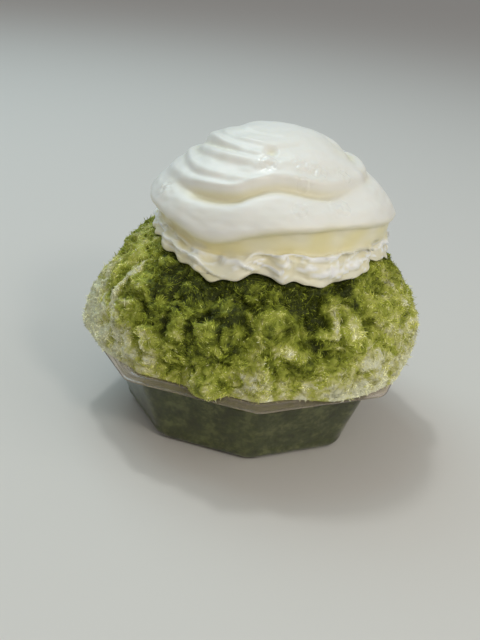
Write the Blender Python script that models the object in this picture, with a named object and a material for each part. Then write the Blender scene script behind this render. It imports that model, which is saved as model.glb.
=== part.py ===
"""Shaved ice in a clear octagonal bowl, heaped over the rim and topped with whipped cream.

The origin is the middle of the bowl's flat base, and +Z is up. -Y is the front, where one corner of the
rim points. Lengths are in millimetres until a mesh is made, which is in metres. Heights of the food are
counted from the rim. An azimuth is in degrees, 0 at the front and 90 at +X.
"""

import math

import bmesh
import bpy
from mathutils import Vector, noise

MM = 0.001

# Bowl: one thin formed sheet. A corner radius is from the axis to a sharp corner of its inner or upper face
BOWL_SIDES = 8
SHEET = 0.6
RIM_TOP = 33.0
BASE_CORNER = 45.2
BASE_FILLET = 5.0
FILLET_STEPS = 3
WALL_TOP_CORNER = 60.2
WALL_TOP_DROP = 3.3
FLANGE_CORNER = 63.2
BEAD_CORNER = 65.4
BEAD_DROP = 0.9
LIP_CORNER = 69.2
LIP_DROP = 1.8
CORNER_ROUND = 8.0
CORNER_STEPS = 4

# Ice: fills the bowl and stands over its flange. Its plain side is r = corner * (1 - (z / top) ^ a) ^ (1 / b)
FIT_GAP = 0.3
ICE_RIM_CORNER = 68.8
ICE_TOP = 60.0
ICE_TOP_POWER = 1.6
ICE_SIDE_POWER = 2.2
ICE_LEAN = 2.2
ICE_LEAN_HEIGHT = 45.0
EDGE_FADE_HEIGHT = 30.0
ICE_OVERHANG = 1.2
FOOD_AZIMUTHS = 80
ICE_SIDE_RINGS = 19

# Shares of the way up the side: where lumps reach full size, where they end, and where it turns in
LUMPS_FULL = 0.16
LUMPS_END = (0.86, 0.98)
TURN_IN = 0.72

# Bed: the surface between ice and cream
BED_RINGS = 6
BED_MARGIN = 1.5
BED_GAP = 0.45

# How far out the ice reaches over the flange, (azimuth, radius)
ICE_EDGE = (
    (-180, 67.5), (-150, 66.5), (-120, 68.5), (-90, 69.2), (-74, 67.0), (-59, 63.5), (-45, 62.0),
    (-33, 59.5), (-24, 60.5), (-10, 60.0), (0, 61.8), (10, 60.5), (17, 61.5), (24, 64.5), (34, 65.5),
    (56, 66.5), (75, 68.8), (90, 69.2), (120, 68.0), (150, 67.5),
)

# Clumps of ice that stand out from the heap, (azimuth, height, their radius, how far they stand out)
CLUMPS = (
    (-17.5, 4.0, 8.0, 5.0), (-42, 12.0, 9.0, 2.6), (38, 9.0, 9.0, 2.4), (14, 14.0, 8.0, 2.2),
    (-70, 30.0, 9.0, 2.6), (62, 26.0, 9.0, 2.2), (-20, 24.0, 8.0, 2.0), (118, 14.0, 9.0, 2.0),
    (135, 18.0, 10.0, 2.6), (-140, 20.0, 10.0, 2.4),
)

# Lumps all over the heap, (distance between them, depth)
LUMP_SIZES = ((14.0, 3.0), (8.0, 1.3))
LUMP_SEED = Vector((31.7, 12.3, 5.1))
HEAP_MIDDLE = Vector((1.0, 0.0, 2.0))

# Cream: a spread dome over a ruffled lower layer
CREAM_X = 3.5
CREAM_Y = -0.5
CREAM_TOP = 88.2
LIP_RADIUS = 48.4
SKIRT_RADIUS = 47.0
BAND_RECESS = 2.4
BAND_RECESS_LEAN = 0.5
CREAM_EDGE = 1.4
CREAM_STEPS = 3

# The plain dome above its lip, (radius, drop from the top)
DOME = ((0.0, 0.0), (9.0, 0.5), (18.0, 2.6), (27.0, 6.8), (35.0, 13.0), (41.0, 19.0))

# Waves round the lower layer, (how many go round, where they start in degrees, how far they stand out)
RUFFLES = ((17, 0, 0.8), (29, 50, 0.5))
SCALLOPS = (11, 0, 0.6)

# How much further the cream's lower edge reaches than its plain radius, (azimuth, reach)
SKIRT_REACH = (
    (-180, -0.6), (-135, 0.4), (-90, -0.6), (-60, 0.4), (-45, 2.2), (-33, 3.6), (-24, 3.4), (-12, 0.8),
    (0, 0.6), (12, 1.6), (28, 1.6), (45, 0.4), (61, -1.4), (88, 1.4), (130, 0.2),
)

# Height of the dome's lower lip, (azimuth, height)
LIP_HEIGHT = (
    (-180, 54.0), (-135, 56.0), (-90, 56.5), (-66, 55.0), (-49, 52.5), (-39, 49.6), (-31, 48.0),
    (-23, 48.6), (-15, 51.8), (-8, 55.2), (4, 58.5), (16, 60.2), (31, 60.4), (50, 58.8), (65, 58.0),
    (90, 55.5), (140, 55.0),
)

# The folds of the dome. Each is a groove: (turned angle from the front, distance down from the top, depth)
FOLDS = (
    (
        (-90, 50.0, 0.0), (-57, 46.5, 1.4), (-40, 50.9, 2.4), (-30, 50.7, 2.8), (-5, 40.3, 2.0),
        (15, 42.7, 2.2), (26, 44.4, 2.0), (42, 43.0, 1.2), (75, 41.0, 1.4), (130, 40.0, 1.8),
        (200, 37.0, 1.8), (255, 31.8, 2.0), (274, 27.6, 2.0), (306, 25.2, 1.6), (332, 23.4, 1.2),
        (360, 20.0, 0.8), (450, 14.0, 0.8),
    ),
    ((-160, 47.0, 0.0), (-110, 44.0, 1.6), (-68, 42.3, 1.6), (-53, 43.4, 1.1), (-14, 42.1, 0.0)),
    ((-120, 38.0, 0.0), (-70, 34.4, 1.8), (-53, 32.8, 1.6), (-37, 31.0, 1.2), (-10, 30.0, 0.0)),
    ((60, 33.0, 0.0), (95, 30.0, 1.8), (150, 27.0, 1.6), (210, 22.0, 1.2), (260, 17.0, 0.0)),
)
FOLD_STEEP = 2.8
FOLD_RAMP = 3.8
FOLD_BROW = 0.4
FOLD_BROW_AT = 2.0

CLEAR = ("clear_plastic", (0.86, 0.88, 0.86, 1.0), 0.08)
ICE_GREEN = ("matcha_ice", (0.27, 0.30, 0.06, 1.0), 0.55)
CREAM_WHITE = ("whipped_cream", (0.88, 0.86, 0.79, 1.0), 0.42)


def smooth_step(value):
    value = min(1.0, max(0.0, value))
    return value * value * (3 - 2 * value)


def along_route(route, angle, column=1):
    """The route's value at an angle, eased between its points."""
    for near, far in zip(route, route[1:]):
        if near[0] <= angle <= far[0]:
            share = smooth_step((angle - near[0]) / (far[0] - near[0]))
            return near[column] + (far[column] - near[column]) * share
    return route[-1][column] if angle > route[-1][0] else route[0][column]


def around(route, azimuth):
    """The value at an azimuth of a route that closes on itself after a full turn."""
    wrapped = (azimuth + 180) % 360 - 180
    closed = route + ((route[0][0] + 360, route[0][1]),)
    return along_route(closed, wrapped)


def octagon_radius(azimuth, corner, rounding=CORNER_ROUND):
    """Distance from the axis to an octagon with a corner at every 45 degrees, each rounded by an arc."""
    half = math.pi / BOWL_SIDES
    step = 2 * half
    off = abs((math.radians(azimuth) + half) % step - half)
    centre = corner - rounding / math.cos(half)
    turn_off = math.atan2(rounding * math.sin(half), centre + rounding * math.cos(half))
    if off < turn_off:
        return centre * math.cos(off) + math.sqrt(rounding**2 - (centre * math.sin(off)) ** 2)
    return corner * math.cos(half) / math.cos(half - off)


def at_azimuth(azimuth, radius, height, centre=(0.0, 0.0)):
    angle = math.radians(azimuth)
    return Vector((centre[0] + radius * math.sin(angle), centre[1] - radius * math.cos(angle), height))


def ice_profile_radius(height):
    """Radius of the plain heap at a height over the rim."""
    share = max(0.0, 1 - (height / ICE_TOP) ** ICE_TOP_POWER)
    return ICE_RIM_CORNER * share ** (1 / ICE_SIDE_POWER)


def ice_profile_height(radius):
    share = max(0.0, 1 - (radius / ICE_RIM_CORNER) ** ICE_SIDE_POWER)
    return ICE_TOP * share ** (1 / ICE_TOP_POWER)


def lean(height):
    """How far the heap's middle has moved towards +X at a height over the rim."""
    return ICE_LEAN * max(0.0, height) / ICE_LEAN_HEIGHT


def bed_height(x, y):
    """Height over the rim of the plain heap under the cream, at a place."""
    height = ice_profile_height(math.hypot(x, y))
    for _ in range(3):
        height = ice_profile_height(math.hypot(x - lean(height), y))
    return height


def lump_noise(point):
    """Rounded lumps with creases between them, outwards from the heap's surface."""
    total = 0.0
    for size, depth in LUMP_SIZES:
        near = noise.voronoi(point / size + LUMP_SEED)[0]
        total += depth * (1.0 - 2.0 * min(1.0, near[0]) ** 1.7)
    return total


def clump_lift(azimuth, height, radius):
    """How far the named clumps push the heap out at a place on it."""
    lift = 0.0
    for where, level, size, out in CLUMPS:
        across = math.radians((azimuth - where + 180) % 360 - 180) * radius
        distance = math.hypot(across, height - level) / size
        lift += out * (1 - smooth_step(distance))
    return lift


def wave(azimuth, count, start, size):
    return size * math.sin(math.radians(count * azimuth + start))


def skirt_place(azimuth):
    """Radius from the cream's middle, and height, of the point where the cream's lower edge meets the ice."""
    reach = SKIRT_RADIUS + around(SKIRT_REACH, azimuth) + wave(azimuth, *SCALLOPS)
    place = at_azimuth(azimuth, reach, 0.0, (CREAM_X, CREAM_Y))
    return reach, bed_height(place.x, place.y)


def food_azimuths():
    return [360 * i / FOOD_AZIMUTHS for i in range(FOOD_AZIMUTHS)]


def bed_ring(share, lift):
    """A ring on the bed between ice and cream, as a share of the way out from its middle."""
    ring = []
    for azimuth in food_azimuths():
        reach = (skirt_place(azimuth)[0] - BED_MARGIN) * share
        place = at_azimuth(azimuth, reach, 0.0, (CREAM_X, CREAM_Y))
        place.z = RIM_TOP + bed_height(place.x, place.y) + lift
        ring.append(place)
    return ring


def new_object(name, points, faces, look):
    """A mesh object from points in millimetres and faces, with its material."""
    mesh = bpy.data.meshes.new(name)
    mesh.from_pydata([point * MM for point in points], [], faces)
    made = bpy.data.objects.new(name, mesh)
    bpy.context.scene.collection.objects.link(made)
    made.data.materials.append(material(*look))
    return made


def material(name, colour, roughness):
    made = bpy.data.materials.new(name)
    made.use_nodes = True
    shader = made.node_tree.nodes["Principled BSDF"]
    shader.inputs["Base Color"].default_value = colour
    shader.inputs["Roughness"].default_value = roughness
    if name == CLEAR[0]:
        shader.inputs["Transmission Weight"].default_value = 1.0
    return made


def skin_rings(rings):
    """Faces over rings of points that all hold the same number, from the first ring out to the last."""
    count = len(rings[0])
    faces = []
    for row in range(len(rings) - 1):
        for i in range(count):
            j = (i + 1) % count
            a, b = row * count, (row + 1) * count
            faces.append((a + i, a + j, b + j, b + i))
    return faces


def cap_ring(points, first, middle):
    """Adds a middle point and returns the triangles from the ring that starts at that index to it."""
    points.append(middle)
    tip = len(points) - 1
    return [(first + i, first + (i + 1) % FOOD_AZIMUTHS, tip) for i in range(FOOD_AZIMUTHS)]


def bed_middle(lift):
    return Vector((CREAM_X, CREAM_Y, RIM_TOP + bed_height(CREAM_X, CREAM_Y) + lift))


def octagon_ring(corner, height):
    """One level of the bowl: an octagon with its corners rounded by arcs."""
    half = math.pi / BOWL_SIDES
    ring = []
    for side in range(BOWL_SIDES):
        azimuth = math.degrees(2 * half * side)
        centre = at_azimuth(azimuth, corner - CORNER_ROUND / math.cos(half), height)
        for step in range(CORNER_STEPS):
            turn = math.degrees(half) * (2 * step / (CORNER_STEPS - 1) - 1)
            ring.append(centre + at_azimuth(azimuth + turn, CORNER_ROUND, 0.0))
    return ring


def bowl_levels():
    """(corner radius, height) up the bowl's inner face, over the flange and down its lip."""
    levels = []
    for step in range(FILLET_STEPS + 1):
        turn = math.pi / 2 * step / FILLET_STEPS
        height = SHEET + BASE_FILLET * (1 - math.cos(turn))
        levels.append((BASE_CORNER + BASE_FILLET * math.sin(turn), height))
    levels.append((WALL_TOP_CORNER, RIM_TOP - WALL_TOP_DROP))
    levels.append((WALL_TOP_CORNER + 1.4, RIM_TOP - 0.7 * WALL_TOP_DROP))
    levels.append((FLANGE_CORNER - 0.8, RIM_TOP - 0.15 * WALL_TOP_DROP))
    levels.append((FLANGE_CORNER, RIM_TOP))
    levels.append((BEAD_CORNER - 0.8, RIM_TOP))
    levels.append((BEAD_CORNER, RIM_TOP - BEAD_DROP))
    levels.append((LIP_CORNER - 1.3, RIM_TOP - BEAD_DROP))
    levels.append((LIP_CORNER - 0.4, RIM_TOP - 0.8 * LIP_DROP))
    levels.append((LIP_CORNER, RIM_TOP - LIP_DROP))
    return levels


def make_bowl():
    rings = [octagon_ring(corner, height) for corner, height in bowl_levels()]
    points = [point for ring in rings for point in ring]
    faces = skin_rings(rings)
    faces.append(tuple(reversed(range(len(rings[0])))))
    bowl = new_object("bowl", points, [tuple(reversed(face)) for face in faces], CLEAR)
    sheet = bowl.modifiers.new("sheet", "SOLIDIFY")
    sheet.thickness = SHEET * MM
    sheet.offset = -1.0
    sheet.use_even_offset = True
    return bowl


def ice_edge(azimuth):
    """Radius of the heap where it leaves the rim."""
    inner = octagon_radius(azimuth, FLANGE_CORNER + SHEET)
    outer = octagon_radius(azimuth, LIP_CORNER + ICE_OVERHANG)
    return min(outer, max(inner, around(ICE_EDGE, azimuth)))


def heap_point(azimuth, share):
    """A point on the heap's side, from the rim at share 0 to the cream's edge at share 1."""
    reach, top = skirt_place(azimuth)
    height = top * share
    plain = ice_profile_radius(height)
    fade = 1 - smooth_step(height / EDGE_FADE_HEIGHT)
    radius = plain - fade * (ICE_RIM_CORNER - ice_edge(azimuth))
    surface = at_azimuth(azimuth, radius, height, (lean(height), 0.0))
    edge = at_azimuth(azimuth, reach - BED_MARGIN, top, (CREAM_X, CREAM_Y))
    turned_in = smooth_step((share - TURN_IN) / (1 - TURN_IN))
    surface = surface.lerp(edge, turned_in)
    start, end = LUMPS_END
    lumpy = smooth_step(share / LUMPS_FULL) * (1 - smooth_step((share - start) / (end - start)))
    lift = lump_noise(surface) * lumpy + clump_lift(azimuth, height, ICE_RIM_CORNER) * (1 - turned_in)
    placed = surface + (surface - HEAP_MIDDLE).normalized() * lift
    placed.z = max(placed.z, FIT_GAP) + RIM_TOP
    return placed


def ice_rings():
    """Rings up the inside of the bowl, over the flange, up the heap and in under the cream."""
    rings = []
    inner_wall = bowl_levels()[:FILLET_STEPS + 2]
    neck = (WALL_TOP_CORNER, RIM_TOP)
    for corner, height in inner_wall + [neck]:
        inside = corner - FIT_GAP / math.cos(math.pi / BOWL_SIDES)
        rings.append([at_azimuth(a, octagon_radius(a, inside), height + FIT_GAP) for a in food_azimuths()])
    for step in range(ICE_SIDE_RINGS):
        rings.append([heap_point(a, step / ICE_SIDE_RINGS) for a in food_azimuths()])
    for step in range(BED_RINGS):
        rings.append(bed_ring(1 - step / BED_RINGS, 0.0))
    return rings


def make_ice():
    rings = ice_rings()
    points = [point for ring in rings for point in ring]
    faces = skin_rings(rings)
    faces += cap_ring(points, len(points) - FOOD_AZIMUTHS, bed_middle(0.0))
    faces.append(tuple(range(FOOD_AZIMUTHS)))
    return new_object("shaved_ice", points, faces, ICE_GREEN)


def spline(controls, steps):
    """A smooth curve through the controls, with that many steps between each two."""
    padded = [2 * controls[0] - controls[1]] + controls + [2 * controls[-1] - controls[-2]]
    curve = []
    for before, start, end, after in zip(padded, padded[1:], padded[2:], padded[3:]):
        for step in range(steps):
            t = step / steps
            curve.append(
                0.5 * (2 * start + (end - before) * t + (2 * before - 5 * start + 4 * end - after) * t**2
                       + (3 * start - before - 3 * end + after) * t**3)
            )
    return curve + [controls[-1]]


def cream_controls(azimuth):
    """(radius, height) down the cream's outside, from its top to its lower edge."""
    reach, foot = skirt_place(azimuth)
    lip = around(LIP_HEIGHT, azimuth)
    ruffle = sum(wave(azimuth, *ruffle) for ruffle in RUFFLES)
    middle = (lip + foot) / 2
    recess = BAND_RECESS * (1 - BAND_RECESS_LEAN * math.sin(math.radians(azimuth)))
    dome = [(radius, CREAM_TOP - drop) for radius, drop in DOME]
    shoulder = [
        (LIP_RADIUS - 2.8, 0.5 * (lip + dome[-1][1])),
        (LIP_RADIUS - 0.3, lip + 3.4),
        (LIP_RADIUS, lip + 1.2),
    ]
    band = [
        (LIP_RADIUS - 0.6 * recess, lip - 0.8),
        (LIP_RADIUS - 0.6 - recess, middle + 0.8),
    ]
    skirt = [
        (reach - 2.4 + ruffle, middle - 1.0),
        (reach - 0.3 + ruffle, foot + 2.0),
        (reach - 0.4, foot + BED_GAP),
    ]
    return [Vector(pair) for pair in dome + shoulder + band + skirt]


def fold_depth(azimuth, distance):
    """How deep the grooves are at a distance down from the top, less the brow that stands over each."""
    depth = 0.0
    for fold in FOLDS:
        for turn in range(-1, 3):
            angle = azimuth + 360 * turn
            if fold[0][0] <= angle <= fold[-1][0]:
                below = distance - along_route(fold, angle)
                width = FOLD_RAMP if below > 0 else FOLD_STEEP
                brow = FOLD_BROW * math.exp(-((below / FOLD_STEEP + FOLD_BROW_AT) ** 2))
                depth += along_route(fold, angle, 2) * (math.exp(-((below / width) ** 2)) - brow)
    return depth


def cream_side(azimuth):
    """The points down the cream's outside at an azimuth."""
    curve = spline(cream_controls(azimuth), CREAM_STEPS)
    walked = 0.0
    placed = []
    for i, place in enumerate(curve):
        before, after = curve[max(0, i - 1)], curve[min(len(curve) - 1, i + 1)]
        walked += (place - before).length
        along = (after - before).normalized()
        out = Vector((-along.y, along.x))
        moved = place - out * fold_depth(azimuth, walked)
        point = at_azimuth(azimuth, max(0.0, moved.x), 0.0, (CREAM_X, CREAM_Y))
        over_bed = BED_GAP + CREAM_EDGE * min(1.0, (len(curve) - 1 - i) / CREAM_STEPS)
        point.z = RIM_TOP + max(moved.y, bed_height(point.x, point.y) + over_bed)
        placed.append(point)
    return placed


def make_cream():
    sides = [cream_side(azimuth) for azimuth in food_azimuths()]
    rings = [list(level) for level in zip(*sides)][1:]
    for step in range(BED_RINGS):
        rings.append(bed_ring(1 - step / BED_RINGS, BED_GAP))
    points = [point for ring in rings for point in ring]
    faces = skin_rings(rings)
    faces += cap_ring(points, 0, sides[0][0])
    faces += cap_ring(points, len(rings) * FOOD_AZIMUTHS - FOOD_AZIMUTHS, bed_middle(BED_GAP))
    return new_object("whipped_cream", points, faces, CREAM_WHITE)


def recalculate(made):
    """Turns every face of a closed mesh outwards."""
    mesh = bmesh.new()
    mesh.from_mesh(made.data)
    bmesh.ops.recalc_face_normals(mesh, faces=mesh.faces)
    mesh.to_mesh(made.data)
    mesh.free()


def main():
    for old in list(bpy.data.objects):
        bpy.data.objects.remove(old)
    bowl = make_bowl()
    for food in (make_ice(), make_cream()):
        recalculate(food)
        food.data.shade_smooth()
    bowl.data.shade_smooth()
    bowl.data.set_sharp_from_angle(angle=math.radians(35))


main()
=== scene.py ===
import math

import bpy
import numpy as np
from mathutils import Matrix, Vector, noise


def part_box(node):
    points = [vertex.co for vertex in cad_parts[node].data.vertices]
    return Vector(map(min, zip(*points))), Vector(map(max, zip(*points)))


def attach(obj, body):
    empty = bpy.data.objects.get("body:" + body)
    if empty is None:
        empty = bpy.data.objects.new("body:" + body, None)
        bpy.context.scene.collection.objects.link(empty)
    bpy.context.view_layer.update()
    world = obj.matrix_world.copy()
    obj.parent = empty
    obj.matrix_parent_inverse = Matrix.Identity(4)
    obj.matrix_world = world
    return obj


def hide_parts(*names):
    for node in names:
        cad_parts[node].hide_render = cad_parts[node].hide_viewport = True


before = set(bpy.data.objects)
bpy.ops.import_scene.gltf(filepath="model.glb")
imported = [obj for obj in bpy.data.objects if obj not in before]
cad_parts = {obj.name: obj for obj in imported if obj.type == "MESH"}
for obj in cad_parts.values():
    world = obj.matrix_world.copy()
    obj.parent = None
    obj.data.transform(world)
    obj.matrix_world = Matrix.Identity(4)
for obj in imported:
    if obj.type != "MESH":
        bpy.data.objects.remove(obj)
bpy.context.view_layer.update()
print("frame loaded:", ", ".join(sorted(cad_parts)))

# Lengths are in millimetres until a mesh is made. Heights of the food are counted from the bowl's rim.
# An azimuth is in degrees, 0 at the front (-Y) and 90 at +X
mm = 0.001
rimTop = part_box("bowl")[1].z / mm


# Shader maths: a Wire is one output of a node, and arithmetic on it adds Math nodes
class Wire:
    def __init__(self, finish, socket):
        self.finish = finish
        self.socket = socket

    def maths(self, operation, first, second):
        return self.finish.add("ShaderNodeMath", {"operation": operation}, {0: first, 1: second})

    def __add__(self, other):
        return self.maths("ADD", self, other)

    def __radd__(self, other):
        return self.maths("ADD", other, self)

    def __sub__(self, other):
        return self.maths("SUBTRACT", self, other)

    def __rsub__(self, other):
        return self.maths("SUBTRACT", other, self)

    def __mul__(self, other):
        return self.maths("MULTIPLY", self, other)

    def __rmul__(self, other):
        return self.maths("MULTIPLY", other, self)


# A material. What is the same all over is given as numbers, and what varies is linked afterwards
class Finish:
    def __init__(self, name, sockets):
        self.material = bpy.data.materials.new(name)
        self.material.use_nodes = True
        self.tree = self.material.node_tree
        self.shader = self.tree.nodes["Principled BSDF"]
        self.fill(self.shader, sockets)

    def fill(self, node, sockets):
        for name, value in sockets.items():
            if isinstance(value, Wire):
                self.tree.links.new(value.socket, node.inputs[name])
            else:
                node.inputs[name].default_value = value

    def add(self, kind, settings=None, sockets=None, output=0):
        node = self.tree.nodes.new(kind)
        for name, value in (settings or {}).items():
            if name == "stops":
                self.setStops(node.color_ramp, value)
            else:
                setattr(node, name, value)
        self.fill(node, sockets or {})
        return Wire(self, node.outputs[output])

    def setStops(self, ramp, stops):
        while len(ramp.elements) < len(stops):
            ramp.elements.new(1.0)
        for element, (place, colour) in zip(ramp.elements, stops):
            element.position = place
            element.color = (*colour, 1.0)

    def ramp(self, factor, stops):
        return self.add("ShaderNodeValToRGB", {"stops": stops}, {"Fac": factor})

    # Sockets 6 and 7 are the Mix node's two colours
    def blend(self, factor, first, second):
        sockets = {0: factor, 6: first, 7: second}
        return self.add("ShaderNodeMix", {"data_type": "RGBA"}, sockets, output=2)

    def scaled(self, colour, factor):
        return self.add("ShaderNodeVectorMath", {"operation": "SCALE"}, {0: colour, "Scale": factor})

    def attribute(self, name):
        return self.add("ShaderNodeAttribute", {"attribute_name": name}, output=2)

    def speckle(self, size, detail=2.0, rough=0.5):
        where = self.add("ShaderNodeTexCoord", output=3)
        sockets = {"Vector": where, "Scale": 1 / (size * mm), "Detail": detail, "Roughness": rough}
        return self.add("ShaderNodeTexNoise", sockets=sockets)

    def bump(self, height, depth, strength=1.0):
        sockets = {"Height": height, "Distance": depth * mm, "Strength": strength}
        return self.add("ShaderNodeBump", sockets=sockets)

    def feed(self, **wires):
        names = {"colour": "Base Color", "roughness": "Roughness", "normal": "Normal"}
        self.fill(self.shader, {names[name]: wire for name, wire in wires.items()})
        return self.material


# Forms: eased routes, turned places and rounded octagons, all on arrays
def smoothStep(value):
    value = np.clip(value, 0.0, 1.0)
    return value * value * (3 - 2 * value)


# A smooth curve through the route's stops, which are (angle or height, value, ...)
def eased(route, angle, column=1):
    stops = np.array([stop[0] for stop in route], float)
    values = np.array([stop[column] for stop in route], float)
    slopes = np.gradient(values, stops)
    near = np.clip(np.searchsorted(stops, angle, side="right") - 1, 0, len(stops) - 2)
    gap = stops[near + 1] - stops[near]
    t = np.clip((angle - stops[near]) / gap, 0.0, 1.0)
    turn = t * (1 - t) * gap * ((1 - t) * slopes[near] - t * slopes[near + 1])
    return values[near] + (values[near + 1] - values[near]) * smoothStep(t) + turn


def around(route, azimuth):
    first, last = route[0], route[-1]
    closed = [(last[0] - 360, last[1]), *route, (first[0] + 360, first[1])]
    return eased(closed, (azimuth + 180) % 360 - 180)


def wave(azimuth, count, start, size):
    return size * np.sin(np.radians(count * azimuth + start))


def atAzimuth(azimuth, radius, height, centre=(0.0, 0.0)):
    angle = np.radians(azimuth)
    x = centre[0] + radius * np.sin(angle)
    y = centre[1] - radius * np.cos(angle)
    return np.stack(np.broadcast_arrays(x, y, height), axis=-1)


def unit(vectors):
    return vectors / np.maximum(1e-9, np.linalg.norm(vectors, axis=-1, keepdims=True))


def apart(azimuth, other):
    return (azimuth - other + 180) % 360 - 180


# Distance to the nearest of scattered cell points, in cell sizes, and where that point is
def cells(points, size, seed):
    flat = (points.reshape(-1, 3) / size + seed).tolist()
    found = [noise.voronoi(place) for place in flat]
    near = np.array([distances[0] for distances, _ in found]).reshape(points.shape[:-1])
    middles = np.array([places[0] for _, places in found]).reshape(points.shape)
    return near, (middles - seed) * size


def clouds(points, size, seed):
    flat = (points.reshape(-1, 3) / size + seed).tolist()
    return np.array([noise.noise(place) for place in flat]).reshape(points.shape[:-1])


# Winding lines, 1 on a line and 0 away from it
def windings(points, size, seed, fine=3.2):
    return np.clip(1 - fine * np.abs(clouds(points, size, seed)), 0, 1)


# The places pushed about, so that what follows them is irregular. Each grade is (size, reach)
def stirred(points, grades):
    for size, reach in grades:
        push = [clouds(points, size, 20.0 * axis) for axis in (1, 2, 3)]
        points = points + reach * np.stack(push, axis=-1)
    return points


def gridFaces(rows, columns, flip=False):
    row, column = np.meshgrid(np.arange(rows - 1), np.arange(columns), indexing="ij")
    beside = (column + 1) % columns
    corners = [row * columns + column, row * columns + beside]
    corners += [(row + 1) * columns + beside, (row + 1) * columns + column]
    if flip:
        corners.reverse()
    return np.stack([corner.ravel() for corner in corners], axis=1)


def capFaces(first, columns, tip, flip=False):
    start = first + np.arange(columns)
    beside = first + (np.arange(columns) + 1) % columns
    ends = np.full(columns, tip)
    return np.stack([beside, start, ends] if flip else [start, beside, ends], axis=1)


def newPiece(name, points, faces, material, replaced=None, smooth=True, values=None):
    mesh = bpy.data.meshes.new(name)
    mesh.from_pydata((points * mm).tolist(), [], faces)
    for label, numbers in (values or {}).items():
        layer = mesh.attributes.new(label, "FLOAT", "POINT")
        layer.data.foreach_set("value", numbers.astype(np.float32))
    if smooth:
        mesh.shade_smooth()
    mesh.materials.append(material)
    piece = bpy.data.objects.new(name, mesh)
    bpy.context.scene.collection.objects.link(piece)
    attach(piece, "root")
    if replaced:
        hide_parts(replaced)
    print(f"{name}: {sum(len(face) - 2 for face in faces)} triangles")
    return piece


# The bowl: a thin clear formed sheet, octagonal, with a stepped flange and a turned-down lip
bowlShape = {
    "sides": 8,
    "sheet": 0.6,
    "baseCorner": 45.2,
    "baseFillet": 5.0,
    "wallTopCorner": 60.2,
    "wallTopDrop": 3.3,
    "flangeCorner": 63.2,
    "beadCorner": 65.4,
    "beadDrop": 0.7,
    "lipCorner": 69.2,
    "lipDrop": 1.3,
    "cornerRound": 8.0,
    "cornerSteps": 13,
    "filletSteps": 8,
    # (how far from the wall's top or the flange, share of wallTopDrop below the rim)
    "shoulder": (1.4, 0.7),
    "stepEdge": (0.8, 0.15),
    "beadWidth": 0.8,
    "lipTurn": 1.3,
    # (how far inside the lip's corner, share of lipDrop)
    "lipEdge": (0.4, 0.8),
    "edgeRound": 0.45,
    "edgeSegments": 3,
    "edgeAngle": 14,
    "roughness": 0.05,
    # (size, depth) of the faint ripples
    "ripples": (16.0, 0.25),
    # how clear the sheet is, and its tint
    "wall": (0.985, (0.91, 0.92, 0.87, 1.0)),
    "flange": (0.90, (0.90, 0.79, 0.70, 1.0)),
}


def octagonRadius(azimuth, corner):
    half = math.pi / bowlShape["sides"]
    rounding = bowlShape["cornerRound"]
    off = np.abs((np.radians(azimuth) + half) % (2 * half) - half)
    centre = corner - rounding / math.cos(half)
    turnOff = np.arctan2(rounding * math.sin(half), centre + rounding * math.cos(half))
    onArc = centre * np.cos(off) + np.sqrt(np.maximum(0.0, rounding**2 - (centre * np.sin(off)) ** 2))
    onSide = corner * math.cos(half) / np.cos(half - off)
    return np.where(off < turnOff, onArc, onSide)


def octagonRing(corner, height):
    half = 180 / bowlShape["sides"]
    rounding = bowlShape["cornerRound"]
    turns = np.linspace(-half, half, bowlShape["cornerSteps"])
    ring = []
    for side in range(bowlShape["sides"]):
        azimuth = 2 * half * side
        centre = atAzimuth(azimuth, corner - rounding / math.cos(math.radians(half)), 0.0)
        ring.append(atAzimuth(azimuth + turns, rounding, height, centre[:2]))
    return np.concatenate(ring)


# (corner radius, height) up the inside of the wall, as far as the food fills it
def wallLevels(reachIn=0.0):
    s = bowlShape
    turn = np.linspace(0, math.pi / 2, s["filletSteps"] + 1)
    fillet = s["baseFillet"] + reachIn
    corners = list(s["baseCorner"] + fillet * np.sin(turn))
    heights = list(s["sheet"] + s["baseFillet"] - fillet * np.cos(turn))
    out, drop = s["shoulder"]
    corners += [s["wallTopCorner"] + reachIn, s["wallTopCorner"] + out + reachIn]
    heights += [rimTop - s["wallTopDrop"], rimTop - drop * s["wallTopDrop"] - reachIn]
    back, drop = s["stepEdge"]
    corners += [s["flangeCorner"] - back + reachIn, s["flangeCorner"]]
    heights += [rimTop - drop * s["wallTopDrop"] - reachIn, rimTop - reachIn]
    return list(zip(corners, heights))


# (corner radius, height) out along the flange and down its lip
def flangeLevels():
    s = bowlShape
    back, drop = s["lipEdge"]
    return [
        (s["beadCorner"] - s["beadWidth"], rimTop),
        (s["beadCorner"], rimTop - s["beadDrop"]),
        (s["lipCorner"] - s["lipTurn"], rimTop - s["beadDrop"]),
        (s["lipCorner"] - back, rimTop - drop * s["lipDrop"]),
        (s["lipCorner"], rimTop - s["lipDrop"]),
    ]


def clearFinish(name, clearness, tint):
    finish = Finish(name, {
        "Base Color": tint,
        "Roughness": bowlShape["roughness"],
        "IOR": 1.5,
        "Transmission Weight": clearness,
    })
    size, depth = bowlShape["ripples"]
    return finish.feed(normal=finish.bump(finish.speckle(size, detail=1.0), depth, 0.5))


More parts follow.
